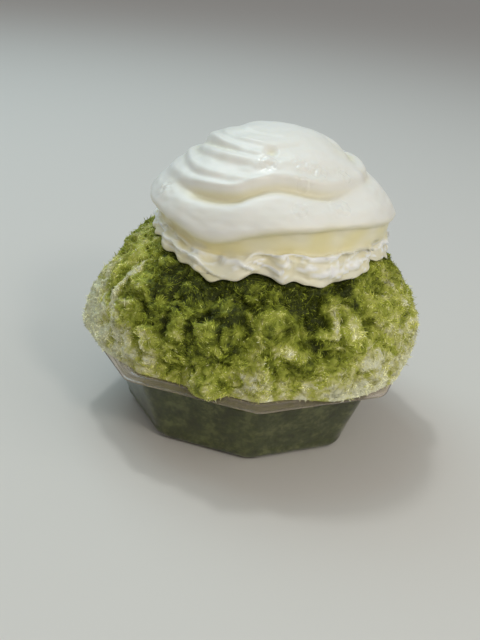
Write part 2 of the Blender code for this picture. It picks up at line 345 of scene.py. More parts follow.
def makeBowl():
    rings = [octagonRing(corner, height) for corner, height in wallLevels() + flangeLevels()]
    columns = len(rings[0])
    faces = gridFaces(len(rings), columns, flip=True).tolist()
    faces.append(list(range(columns)))
    wall = clearFinish("clearWall", *bowlShape["wall"])
    bowl = newPiece("clearBowl", np.concatenate(rings), faces, wall, "bowl")
    bowl.data.materials.append(clearFinish("hazyFlange", *bowlShape["flange"]))
    inWall = columns * (len(wallLevels()) - 1)
    for face in bowl.data.polygons[inWall:-1]:
        face.material_index = 1
    edges = bowl.modifiers.new("edges", "BEVEL")
    edges.width = bowlShape["edgeRound"] * mm
    edges.segments = bowlShape["edgeSegments"]
    edges.limit_method = "ANGLE"
    edges.angle_limit = math.radians(bowlShape["edgeAngle"])
    sheet = bowl.modifiers.new("sheet", "SOLIDIFY")
    sheet.thickness = bowlShape["sheet"] * mm
    sheet.offset = -1.0
    sheet.use_even_offset = True


# The cream's place and the bed that it rests on
creamPlace = {
    "middle": (3.5, -0.5),
    "skirtRadius": 47.0,
    "scallops": ((11, 0, 0.35), (23, 40, 0.5), (37, 10, 0.2)),
    "bedMargin": 1.5,
    "bedGap": 0.45,
    "skirtReach": (
        (-180, -0.6), (-135, 0.4), (-90, -0.4), (-60, 0.4), (-45, 2.2), (-33, 3.6), (-24, 3.8), (-17, 2.6),
        (-11, 0.2), (-4, 0.9), (2, 1.1), (6, 0.9), (12, 1.6), (21, 2.2), (28, 1.7), (32, 0.4), (38, 0.8),
        (45, 0.4), (52, -1.2), (61, -1.4), (88, 1.4), (130, 0.2),
    ),
}

# The heap. Its plain side is r = corner * (1 - (z / top) ^ topPower) ^ (1 / sidePower)
heapShape = {
    "columns": 600,
    "rows": 130,
    "rimCorner": 68.8,
    "top": 60.0,
    "topPower": 1.6,
    "sidePower": 2.2,
    "lean": 2.2,
    "leanHeight": 45.0,
    "edgeFade": 30.0,
    "overhang": 1.2,
    "intoWall": 0.25,
    "middle": (1.0, 0.0, 2.0),
    "soakInBowl": 0.7,
    # the rings that close the heap under the cream, as shares of the cream's reach
    "bedRings": (0.75, 0.45, 0.15),
    "turnIn": 0.72,
    "lumpsFull": 0.16,
    "lumpsEnd": (0.86, 0.98),
    "lumpSeed": (31.7, 12.3, 5.1),
    "lumps": ((14.0, 2.4), (7.5, 0.9)),
    "fineLumps": ((4.0, 0.75), (2.1, 0.5)),
    # winding strands and cracks: (size, how far they stand out)
    "strands": (2.8, 0.5),
    "cracks": (9.0, -1.2),
    # cracks are darkened, partly soak and partly painted shade
    "crackShadeAndSoak": 0.17,
    # (size, reach) of the noise that makes the lumps and hollows irregular
    "stir": ((9.0, 6.0), (3.5, 3.0)),
    # how far out the ice reaches over the flange, (azimuth, radius)
    "edge": (
        (-180, 67.5), (-150, 66.5), (-120, 68.5), (-90, 69.2), (-74, 67.0), (-59, 63.5), (-45, 62.0),
        (-33, 59.5), (-25, 60.5), (-21, 64.5), (-17.5, 66.8), (-14, 64.5), (-10, 60.0), (0, 61.8),
        (10, 60.5), (17, 61.5), (24, 64.5), (34, 65.5), (56, 66.5), (75, 68.8), (90, 69.2), (120, 68.0),
        (150, 67.5),
    ),
    # (azimuth, height, radius, how far they stand out)
    "clumps": (
        (-17.5, 5.0, 8.0, 3.4), (-42, 12.0, 9.0, 2.6), (38, 9.0, 9.0, 2.4), (14, 14.0, 8.0, 2.2),
        (-70, 30.0, 9.0, 2.6), (62, 26.0, 9.0, 2.2), (-20, 24.0, 8.0, 2.0), (118, 14.0, 9.0, 2.0),
        (135, 18.0, 10.0, 2.6), (-140, 20.0, 10.0, 2.4),
    ),
}

# Hollows and mounds: (azimuth, height, radius, how far it stands out, change of soak and painted shade).
# Hollows and the ice near the cream get darker and mounds paler, partly green tea and partly painted shade
heapSpots = (
    (-37.5, 30.6, 7.0, -3.0, 0.20), (-37.7, 21.1, 5.5, -2.4, 0.26), (-15.4, 15.4, 5.5, -2.8, 0.30),
    (-7.4, 23.5, 6.0, -2.6, 0.22), (12.0, 31.5, 5.5, -3.0, 0.24), (17.5, 29.8, 5.5, -3.0, 0.24),
    (29.1, 36.6, 9.0, -3.0, 0.25), (-25.8, 37.6, 6.0, -3.0, -0.05), (-58.2, 36.0, 5.5, -3.0, 0.30),
    (-49.4, 25.7, 5.5, -2.2, 0.30), (38.0, 24.5, 6.0, -1.8, 0.25), (24.0, 19.0, 4.5, -1.6, 0.15),
    (23.1, 27.4, 7.0, 1.8, -0.30), (0.1, 13.5, 8.0, 1.6, -0.30), (19.1, 12.5, 9.0, 1.4, -0.22),
    (-15.5, 7.4, 8.0, 0.4, -0.12), (-25.4, 25.2, 7.0, 1.6, -0.25), (2.0, 28.0, 7.5, 1.4, -0.18),
    (52.8, 21.6, 11.0, 0.8, -0.25), (-46.0, 15.5, 8.0, 1.2, -0.15), (-52.0, 33.0, 6.0, 1.6, -0.20),
    (44.0, 31.0, 7.0, 1.4, -0.20), (36.0, 12.0, 7.0, 1.0, -0.15), (-72.0, 37.0, 8.0, 1.4, -0.05),
    (-84.0, 30.0, 12.0, 0.8, 0.10), (-66.0, 27.0, 10.0, 0.0, 0.10), (-41.0, 10.0, 13.0, 0.0, -0.32),
    (-4.0, 8.0, 14.0, 0.0, -0.10), (28.0, 25.5, 11.0, 0.6, -0.30), (6.0, 22.0, 12.0, 0.6, -0.20),
    (33.0, 38.5, 12.0, 0.0, 0.68), (1.0, 39.5, 10.0, 0.0, 0.44), (-46.0, 32.0, 9.0, 0.0, 0.22),
    (-36.0, 38.0, 11.0, 0.0, -0.42), (-5.0, 26.5, 9.0, 0.4, -0.28), (45.0, 17.0, 10.0, 0.0, 0.12),
    (63.0, 31.0, 11.0, 0.0, -0.36), (-15.5, 4.0, 10.0, 0.0, 0.34), (-83.0, 14.0, 12.0, 0.0, -0.35),
    (100.0, 30.0, 6.0, -2.4, 0.25), (80.0, 18.0, 6.0, -2.2, 0.25), (126.0, 22.0, 6.5, -2.6, 0.30),
    (150.0, 33.0, 7.0, -2.8, 0.30), (172.0, 16.0, 6.5, -2.4, 0.25), (-165.0, 30.0, 7.0, -2.6, 0.25),
    (-128.0, 26.0, 6.5, -2.6, 0.30), (-105.0, 14.0, 6.0, -2.2, 0.25), (-150.0, 12.0, 6.0, -2.0, 0.20),
    (160.0, 24.0, 8.0, 1.6, -0.25), (-118.0, 36.0, 8.0, 1.6, -0.25), (112.0, 24.0, 8.0, 1.4, -0.22),
    (-178.0, 36.0, 8.0, 1.2, -0.20), (-138.0, 18.0, 9.0, 1.4, -0.22),
)

# Pale melting strands: how clear and how wide they are, and (height, azimuth) upwards
strandShape = {
    "routes": (
        (1.0, 1.5, ((4.0, -68.5), (7.0, -66.0), (11.0, -64.2), (15.5, -63.2), (22.0, -66.0),
                    (29.0, -63.4), (35.0, -61.5))),
        (1.0, 1.2, ((8.0, -57.0), (13.0, -60.5), (18.0, -63.0))),
        (0.35, 2.8, ((10.0, 126.0), (18.0, 122.0), (27.0, 127.0), (35.0, 124.0))),
        (0.35, 2.8, ((6.0, -150.0), (14.0, -154.0), (24.0, -151.0), (32.0, -155.0))),
    ),
    "out": 1.1,
    "soak": -0.75,
}


def heapRadius(height):
    s = heapShape
    share = np.maximum(0.0, 1 - (height / s["top"]) ** s["topPower"])
    return s["rimCorner"] * share ** (1 / s["sidePower"])


def heapHeight(radius):
    s = heapShape
    share = np.maximum(0.0, 1 - (radius / s["rimCorner"]) ** s["sidePower"])
    return s["top"] * share ** (1 / s["topPower"])


def lean(height):
    return heapShape["lean"] * np.maximum(0.0, height) / heapShape["leanHeight"]


def bedHeight(x, y):
    height = heapHeight(np.hypot(x, y))
    for _ in range(3):
        height = heapHeight(np.hypot(x - lean(height), y))
    return height


# How far out the cream's lower edge is from the cream's middle, and its height
def skirtPlace(azimuth):
    s = creamPlace
    reach = s["skirtRadius"] + around(s["skirtReach"], azimuth)
    reach = reach + sum(wave(azimuth, *scallop) for scallop in s["scallops"])
    place = atAzimuth(azimuth, reach, 0.0, s["middle"])
    return reach, bedHeight(place[..., 0], place[..., 1])


def bedRing(azimuth, share, lift):
    reach = (skirtPlace(azimuth)[0] - creamPlace["bedMargin"]) * share
    ring = atAzimuth(azimuth, reach, 0.0, creamPlace["middle"])
    ring[..., 2] = rimTop + bedHeight(ring[..., 0], ring[..., 1]) + lift
    return ring


def heapEdge(azimuth):
    inner = octagonRadius(azimuth, bowlShape["flangeCorner"] + bowlShape["sheet"])
    outer = octagonRadius(azimuth, bowlShape["lipCorner"] + heapShape["overhang"])
    return np.clip(around(heapShape["edge"], azimuth), inner, outer)


def lumpLift(points, sizes, seed, start=1.0):
    total = np.zeros(points.shape[:-1])
    for size, depth in sizes:
        near = cells(points, size, seed)[0]
        total += depth * (start - 2 * np.minimum(1.0, near) ** 1.7)
    return total


# How far the clumps push the heap out, or with column 4 how much they change what it has soaked up
def clumpLift(azimuth, height, clumps, column=3):
    lift = np.zeros(np.broadcast(azimuth, height).shape)
    for clump in clumps:
        across = np.radians(apart(azimuth, clump[0])) * heapShape["rimCorner"]
        distance = np.hypot(across, (height - clump[1]) * 1.15) / clump[2]
        lift += clump[column] * (1 - smoothStep(distance))
    return lift


# How near a place is to a pale strand, from 0 to 1
def strandShare(azimuth, height):
    s = strandShape
    share = np.zeros(np.broadcast(azimuth, height).shape)
    for strength, width, route in s["routes"]:
        middle = eased(route, height)
        inside = (height >= route[0][0]) & (height <= route[-1][0])
        across = np.radians(apart(azimuth, middle)) * heapShape["rimCorner"]
        share = np.maximum(share, strength * inside * np.exp(-((across / width) ** 2)))
    return share


# The heap's side from the rim (share 0) to the cream's edge (share 1), how far its lumps stand out there,
# and how much more or less than its surroundings a place has soaked up or is painted shaded
def heapSide(azimuth, share):
    s = heapShape
    reach, top = skirtPlace(azimuth)
    height = top * share
    fade = 1 - smoothStep(height / s["edgeFade"])
    radius = heapRadius(height) - fade * (s["rimCorner"] - heapEdge(azimuth))
    surface = atAzimuth(azimuth, radius, height, (lean(height), 0.0))
    edge = atAzimuth(azimuth, reach - creamPlace["bedMargin"], top, creamPlace["middle"])
    turnedIn = smoothStep((share - s["turnIn"]) / (1 - s["turnIn"]))
    surface = surface + (edge - surface) * turnedIn[..., None]
    start, end = s["lumpsEnd"]
    lumpy = smoothStep(share / s["lumpsFull"]) * (1 - smoothStep((share - start) / (end - start)))
    seed = np.array(s["lumpSeed"])
    places = stirred(surface, s["stir"])
    rough = lumpLift(places, s["lumps"], seed) * lumpy
    fine = lumpLift(places, s["fineLumps"], seed, start=0.3) * smoothStep(share / 0.05)
    cracks = windings(places, s["cracks"][0], 14.0) ** 2 * smoothStep(share / 0.1)
    fine += s["strands"][1] * windings(places, s["strands"][0], 8.0) * smoothStep(share / 0.05)
    fine += s["cracks"][1] * cracks * (1 - smoothStep((share - 0.9) / 0.08))
    shift = places - surface
    aside = np.degrees(shift[..., 0] * np.cos(np.radians(azimuth)) / s["rimCorner"])
    level = height + shift[..., 2]
    spots = clumpLift(azimuth + aside, level, heapSpots) * (1 - smoothStep((share - 0.92) / 0.08))
    strand = strandShare(azimuth, height)
    lift = rough + fine + spots + clumpLift(azimuth, height, s["clumps"]) * (1 - turnedIn)
    lift += strandShape["out"] * strand
    placed = surface + unit(surface - np.array(s["middle"])) * lift[..., None]
    placed[..., 2] = np.maximum(placed[..., 2], -s["intoWall"]) + rimTop
    # Hollows and the ice near the cream get darker here and mounds paler: partly green tea, partly painted
    # shade
    soak = clumpLift(azimuth + aside, level, heapSpots, 4) + strandShape["soak"] * strand
    # Painted shade and soak in the cracks
    soak += s["crackShadeAndSoak"] * cracks
    return placed, rough + fine, soak


# How much green tea a place has taken up, with painted shade added in creases, cracks, hollows and near the
# cream: 1 is deep green, 0 is plain ice
soakAndShadeShape = {
    "patches": ((17.0, 0.24), (7.0, 0.26), (3.4, 0.28), (1.7, 0.26)),
    "seed": (3.1, 8.7, 1.9),
    "up": ((0.0, 0.17), (0.16, 0.30), (0.38, 0.50), (0.62, 0.73), (0.85, 0.87), (1.0, 0.92)),
    "side": ((-180, -0.1), (-120, 0.0), (-84, -0.42), (-66, -0.28), (-50, 0.04), (-35, 0.14), (0, 0.02),
             (20, -0.06), (36, -0.18), (56, -0.22), (76, -0.26), (100, -0.18), (130, -0.05)),
    # Painted shade: places lower than the lumps around them count as more soaked, so creases come out darker
    # and lumps paler
    "creaseShadeAndSoak": 0.06,
    "least": 0.05,
}


def soakAndShadeAt(points, azimuth, share, relief, local):
    s = soakAndShadeShape
    soak = eased(s["up"], share) + around(s["side"], azimuth) + local
    for size, amount in s["patches"]:
        soak = soak + amount * clouds(points, size, np.array(s["seed"]))
    # Painted shade and soak together: darker in the creases
    return np.clip(soak - s["creaseShadeAndSoak"] * relief, s["least"], 1.0)


soakAndShadeColours = (
    (0.0, (0.93, 0.93, 0.72)),
    (0.16, (0.83, 0.80, 0.40)),
    (0.38, (0.65, 0.67, 0.13)),
    (0.62, (0.41, 0.465, 0.050)),
    (0.84, (0.19, 0.225, 0.018)),
    (1.0, (0.060, 0.074, 0.007)),
)

# Colours of the mottled ice that is pressed against the bowl, darkened partly by soak and partly as painted
# shade
pressedShadedColours = (
    (0.38, (0.075, 0.088, 0.018)),
    (0.50, (0.130, 0.150, 0.036)),
    (0.62, (0.270, 0.300, 0.100)),
)


heapLook = {
    "gloss": 0.2,
    # (size, roughness of the noise)
    "grain": (0.9, 0.6),
    "specks": (2.0, 0.65),
    "mottle": 7.0,
    # how much the grain varies what a place seems to have soaked up and how it is painted shaded
    "grainSoak": 0.35,
    # brightness of plain ice, kept below the crystals' as painted shade between them, and how much less
    # where it is soaked or painted shaded
    "bright": (0.78, 0.22),
    # roughness where it is loose, and how much less where it is pressed
    "roughness": (0.55, 0.25),
}


def heapFinish():
    s = heapLook
    finish = Finish("soakedAndShadedIce", {"Specular IOR Level": s["gloss"]})
    soak = finish.attribute("soak")
    wet = finish.attribute("wet")
    size, rough = s["grain"]
    grain = finish.speckle(size, detail=3.0, rough=rough)
    mottle = finish.speckle(s["mottle"])
    above = finish.ramp(soak + s["grainSoak"] * (grain - 0.5), soakAndShadeColours)
    bright, darker = s["bright"]
    # Painted shade: the ice under the crystals is darkened, more where it is soaked or shaded
    above = finish.scaled(above, bright - darker * soak)
    size, rough = s["specks"]
    specks = finish.speckle(size, detail=3.0, rough=rough)
    # Painted shade: where wet is 1 the ice takes these darker pressed colours
    behind = finish.ramp(0.5 * mottle + 0.5 * specks, pressedShadedColours)
    loose, smoother = s["roughness"]
    return finish.feed(
        colour=finish.blend(wet, above, behind),
        roughness=loose - smoother * wet,
        normal=finish.bump(grain, 0.5, 0.6),
    )


def makeHeap():
    s = heapShape
    azimuth = np.arange(s["columns"]) * 360 / s["columns"]
    rings = []
    for corner, height in wallLevels(s["intoWall"]):
        rings.append(atAzimuth(azimuth, octagonRadius(azimuth, corner), height))
    inBowl = len(rings)
    share = np.linspace(0, 1, s["rows"])[:, None]
    side, relief, local = heapSide(azimuth, share)
    soak = soakAndShadeAt(side, azimuth, share, relief, local)
    rings += list(side)
    rings += [bedRing(azimuth, part, 0.0) for part in s["bedRings"]]
    points = np.concatenate(rings)
    columns = s["columns"]
    top = np.array([[*creamPlace["middle"], rimTop + bedHeight(*creamPlace["middle"])]])
    faces = gridFaces(len(rings), columns).tolist()
    faces += capFaces(len(points) - columns, columns, len(points)).tolist()
    faces.append(list(range(columns))[::-1])
    points = np.concatenate([points, top])
    soakedAndShaded = np.concatenate([np.full(inBowl * columns, s["soakInBowl"]), soak.ravel()])
    # Wet is 1 inside the bowl, where the ice takes the darker colours that are partly painted shade
    wet = np.concatenate([np.ones(inBowl * columns), np.zeros(soak.size)])
    rest = len(points) - len(soakedAndShaded)
    values = {"soak": np.append(soakedAndShaded, np.ones(rest)), "wet": np.append(wet, np.zeros(rest))}
    newPiece("iceHeap", points, faces, heapFinish(), "shaved_ice", values=values)
    return {"points": side, "soak": soak, "azimuth": azimuth, "share": share}


# Loose crystals all over the heap. Lengths, widths and tones are (smallest, largest), clump is the size of
# the clumps that they fan out from, and soakBy is (shift, spread) from what the ice there has soaked up or
# is painted shaded
crystalKinds = {
    "fineNeedles": {"count": 38000, "length": (0.6, 1.5), "width": (0.22, 0.40), "tilt": 0.14, "lift": 0.30,
                    "clump": 4.4, "rough": 0.45, "soakBy": (0.0, 0.06), "tone": (0.6, 1.05), "seed": 11},
    "longNeedles": {"count": 26000, "length": (1.1, 3.0), "width": (0.20, 0.34), "tilt": 0.08, "lift": 0.35,
                    "clump": 7.5, "rough": 0.40, "soakBy": (0.0, 0.10), "tone": (0.55, 1.15), "seed": 12},
    "flakes": {"count": 32000, "length": (0.5, 1.2), "width": (0.45, 0.90), "tilt": 0.20, "lift": 0.25,
               "clump": 4.4, "rough": 0.35, "soakBy": (-0.02, 0.08), "tone": (0.6, 1.1), "seed": 13},
    "paleSlivers": {"count": 11000, "length": (0.6, 2.0), "width": (0.18, 0.32), "tilt": 0.14, "lift": 0.45,
                    "clump": 7.5, "rough": 0.20, "soakBy": (-0.30, 0.08), "tone": (0.9, 1.1), "seed": 14},
}

# A crystal's root, tip and widest place as shares of its length, its depth as a share of its width, and how
# deep it is sunk in the ice
crystalShape = {"root": 0.1, "tip": 0.9, "widest": 0.4, "depth": 0.45, "sunk": 0.2}

# Plain ice takes only a share of a change. The clouds that vary the brightness are (size, amount, seed)
tintShape = {
    "plainShare": 0.35,
    "plainUpTo": 0.4,
    # brightness of plain crystals, and how much less where they are soaked or painted shaded
    "bright": (1.15, 0.25),
    "clouds": ((2.8, 0.5, 6.0), (8.0, 0.4, 2.0)),
}

# Fine curved fibres that arch over the clumps
fibreShape = {
    "count": 4200,
    "sides": 3,
    "bends": 5,
    "length": (2.5, 5.5),
    "width": (0.20, 0.34),
    "arch": (0.1, 0.7),
    "curl": 0.6,
    "clump": 7.5,
    "rough": 0.35,
    "soakBy": (-0.04, 0.08),
    "tone": (0.6, 1.25),
    "seed": 15,
}


def crystalFinish(name, roughness):
    finish = Finish(name, {"Roughness": roughness, "Specular IOR Level": heapLook["gloss"]})
    colour = finish.ramp(finish.attribute("soak"), soakAndShadeColours)
    return finish.feed(colour=finish.scaled(colour, finish.attribute("tone")))


# Random places on the heap's side, spread by area: points, normals, soak with its painted shade
def sowPlaces(ground, count, rng):
    points = ground["points"]
    closed = np.concatenate([points, points[:, :1]], axis=1)
    soak = np.concatenate([ground["soak"], ground["soak"][:, :1]], axis=1)
    across = closed[:-1, 1:] - closed[:-1, :-1]
    upward = closed[1:, :-1] - closed[:-1, :-1]
    outward = np.cross(across, upward)
    area = np.linalg.norm(outward, axis=-1)
    total = np.cumsum(area.ravel())
    chosen = np.searchsorted(total, rng.random(count) * total[-1])
    row, column = np.unravel_index(np.minimum(chosen, area.size - 1), area.shape)
    u, v = rng.random((2, count, 1))
    low = closed[row, column] * (1 - u) + closed[row, column + 1] * u
    high = closed[row + 1, column] * (1 - u) + closed[row + 1, column + 1] * u
    return low * (1 - v) + high * v, unit(outward[row, column]), soak[row, column]


# Directions that fan out from the clumps, more or less along the surface
def fanDirections(places, normals, clump, tilt, rng):
    where = stirred(places, heapShape["stir"][:1])
    fan = where - cells(where, clump, np.array(heapShape["lumpSeed"]))[1]
    fan = unit(fan - normals * np.sum(fan * normals, axis=1, keepdims=True))
    jitter = rng.normal(0, 0.3, places.shape)
    jitter -= normals * np.sum(jitter * normals, axis=1, keepdims=True)
    rise = rng.normal(tilt, 0.17, (len(places), 1))
    return unit(fan + jitter + normals * rise)


# What each crystal has soaked up or is painted shaded, and how bright it is: neighbours are alike
def tints(places, soak, kind, rng):
    s = tintShape
    shift, spread = kind["soakBy"]
    change = shift + rng.normal(0, spread, len(soak))
    change *= s["plainShare"] + (1 - s["plainShare"]) * smoothStep(soak / s["plainUpTo"])
    soakedAndShaded = np.clip(soak + change, 0, 1)
    tone = kind["tone"][0] + np.ptp(kind["tone"]) * rng.random(len(soak)) ** 1.3
    bright, darker = s["bright"]
    varied = 1 + sum(amount * clouds(places, size, seed) for size, amount, seed in s["clouds"])
    return soakedAndShaded, tone * (bright - darker * soakedAndShaded) * varied


def sowCrystals(name, kind, ground):
    rng = np.random.default_rng(kind["seed"])
    count = kind["count"] // 1
    places, normals, soak = sowPlaces(ground, count, rng)
    along = fanDirections(places, normals, kind["clump"], kind["tilt"], rng)
    side = unit(np.cross(along, normals + rng.normal(0, 0.5, (count, 3))))
    over = np.cross(along, side)
    length = kind["length"][0] + np.ptp(kind["length"]) * rng.random((count, 1)) ** 1.6
    width = kind["width"][0] + np.ptp(kind["width"]) * rng.random((count, 1))
    s = crystalShape
    root = places + normals * (kind["lift"] * rng.random((count, 1)) - s["sunk"])
    middle = root + along * length * s["widest"] + over * width * s["depth"]
    corners = [
        root - along * length * s["root"],
        root + along * length * s["tip"],
        middle + side * width / 2,
        middle - side * width / 2,
    ]
    points = np.stack(corners, axis=1).reshape(-1, 3)
    first = 4 * np.arange(count)[:, None, None]
    faces = (first + np.array([(0, 3, 2), (1, 2, 3), (0, 1, 3), (0, 2, 1)])).reshape(-1, 3)
    soakedAndShaded, tone = tints(places, soak, kind, rng)
    values = {"soak": np.repeat(soakedAndShaded, 4), "tone": np.repeat(tone, 4)}
    material = crystalFinish(name + "Ice", kind["rough"])
    newPiece(name, points, faces.tolist(), material, smooth=False, values=values)


# Each fibre is a thin three-sided strand with narrow ends
def sowFibres(ground):
    s = fibreShape
    rng = np.random.default_rng(s["seed"])
    count = s["count"] // 1
    places, normals, soak = sowPlaces(ground, count, rng)
    along = fanDirections(places, normals, s["clump"], 0.0, rng)
    side = np.cross(normals, along)
    length = s["length"][0] + np.ptp(s["length"]) * rng.random((count, 1)) ** 1.5
    width = s["width"][0] + np.ptp(s["width"]) * rng.random((count, 1))
    arch = s["arch"][0] + np.ptp(s["arch"]) * rng.random((count, 1))
    curl = rng.normal(0, s["curl"], (count, 1))
    rings = []
    for share in np.linspace(0, 1, s["bends"] + 1):
        swell = 0.12 + 0.88 * math.sin(math.pi * share) ** 0.6
        rise = arch * 4 * share * (1 - share) - 0.3
        middle = places + along * length * (share - 0.5)
        middle = middle + normals * rise + side * curl * (share - 0.5) ** 2 * 4
        for corner in range(s["sides"]):
            turn = 2 * math.pi * corner / s["sides"]
            out = side * math.cos(turn) + normals * math.sin(turn)
            rings.append(middle + out * width * swell / 2)
    each = len(rings)
    points = np.stack(rings, axis=1).reshape(-1, 3)
    pattern = gridFaces(s["bends"] + 1, s["sides"], flip=True)
    first = each * np.arange(count)[:, None, None]
    faces = (first + pattern).reshape(-1, 4).tolist()
    faces += (first[:, :, 0] + np.arange(s["sides"])[None, :]).tolist()
    faces += (first[:, :, 0] + np.arange(each - 1, each - 1 - s["sides"], -1)[None, :]).tolist()
    soakedAndShaded, tone = tints(places, soak, s, rng)
    values = {"soak": np.repeat(soakedAndShaded, each), "tone": np.repeat(tone, each)}
    newPiece("fibres", points, faces, crystalFinish("fibreIce", s["rough"]), values=values)


# The cream: a spread dome over a ruffled lower layer
creamShape = {
    "columns": 640,
    "rowGap": 0.58,
    "top": 87.6,
    "lipRadius": 48.4,
    "bandRecess": 3.4,
    "recessLean": 0.45,
    "edgeThick": 1.4,
    "edgeTaper": 1.8,
    # (size, how far out) of the soft unevenness, of the level streaks and of the bumps where it is wet
    "soft": (9.0, 0.35),
    "streaks": (5.0, 0.22),
    "bumps": (2.0, 0.7),
    # the rings that close the cream over the heap, as shares of its reach
    "bedRings": (1.0, 0.7, 0.4, 0.15),
    "dome": ((0.0, 0.0), (9.0, 0.5), (18.0, 2.6), (27.0, 6.8), (35.0, 13.0), (41.0, 19.0)),
    "ruffles": ((17, 0, 0.5), (29, 50, 0.3)),
    "lipHeight": (
        (-180, 54.0), (-135, 56.0), (-90, 56.5), (-66, 55.6), (-49, 53.6), (-39, 52.0), (-31, 51.6),
        (-23, 53.2), (-15, 55.6), (-8, 57.6), (4, 59.2), (16, 59.9), (31, 60.2), (50, 59.0), (65, 57.6),
        (90, 55.5), (140, 55.0),
    ),
}

# Grooves of the swirl. A route's stops are (turned angle, distance down from the top, depth)
creamFolds = (
    {
        "route": (
            (-112, 50.5, 0.0), (-90, 50.0, 0.7), (-67, 48.6, 1.2), (-56, 48.8, 2.0), (-48, 48.6, 3.4),
            (-38, 48.2, 4.2), (-30, 47.4, 4.2), (-23, 46.2, 3.8), (-17, 44.0, 3.0), (-11, 41.6, 2.6),
            (-2, 40.3, 2.8), (6, 40.7, 3.0), (17, 42.2, 2.8), (26, 43.2, 2.4), (37, 42.8, 1.6),
            (48, 42.2, 1.0), (75, 41.0, 1.4), (130, 40.0, 1.8), (200, 37.0, 1.8), (255, 32.4, 2.0),
            (274, 29.6, 1.8), (306, 27.0, 1.0), (332, 25.0, 0.5), (360, 22.0, 0.3), (420, 15.0, 0.0),
        ),
        "steep": 2.1, "ramp": 3.4, "brow": 0.35,
    },
    {
        "route": (
            (-150, 42.0, 0.0), (-110, 41.0, 0.9), (-83, 40.6, 1.0), (-62, 42.2, 1.0), (-47, 42.6, 0.9),
            (-33, 42.4, 0.8), (-18, 42.2, 0.6), (-4, 41.6, 0.0),
        ),
        "steep": 1.6, "ramp": 2.2, "brow": 0.5,
    },
    {
        "route": (
            (-130, 37.0, 0.0), (-100, 35.2, 1.0), (-72, 34.1, 1.1), (-52, 33.6, 1.0), (-30, 33.4, 0.7),
            (-18, 33.9, 0.35), (-4, 34.5, 0.0),
        ),
        "steep": 1.8, "ramp": 3.6, "brow": 0.5,
    },
    {
        "route": (
            (-105, 28.5, 0.0), (-69, 27.2, 0.45), (-51, 26.7, 0.5), (-36, 27.3, 0.45), (-21, 27.9, 0.3),
            (-8, 28.5, 0.0),
        ),
        "steep": 1.0, "ramp": 1.7, "brow": 0.7,
    },
    {
        "route": (
            (-110, 24.0, 0.0), (-77, 22.8, 0.45), (-50, 21.9, 0.5), (-30, 21.9, 0.35), (-12, 22.4, 0.0),
        ),
        "steep": 1.0, "ramp": 1.8, "brow": 0.7,
    },
    {
        "route": ((-120, 17.0, 0.0), (-80, 15.5, 0.25), (-50, 14.6, 0.3), (-15, 14.4, 0.2), (10, 15.0, 0.0)),
        "steep": 1.2, "ramp": 2.0, "brow": 0.5,
    },
    {
        "route": ((30, 26.0, 0.0), (60, 26.5, 1.0), (90, 26.5, 1.6), (120, 26.5, 1.0), (150, 26.0, 0.0)),
        "steep": 9.0, "ramp": 8.0, "brow": 0.0,
    },
    {
        "route": ((60, 33.0, 0.0), (95, 30.0, 1.4), (150, 27.0, 1.6), (210, 22.0, 1.2), (260, 17.0, 0.0)),
        "steep": 2.6, "ramp": 3.4, "brow": 0.4,
    },
    {
        "route": ((100, 48.5, 0.0), (135, 47.5, 1.3), (180, 46.8, 1.6), (225, 46.0, 1.3), (262, 45.0, 0.0)),
        "steep": 1.9, "ramp": 2.6, "brow": 0.5,
    },
)

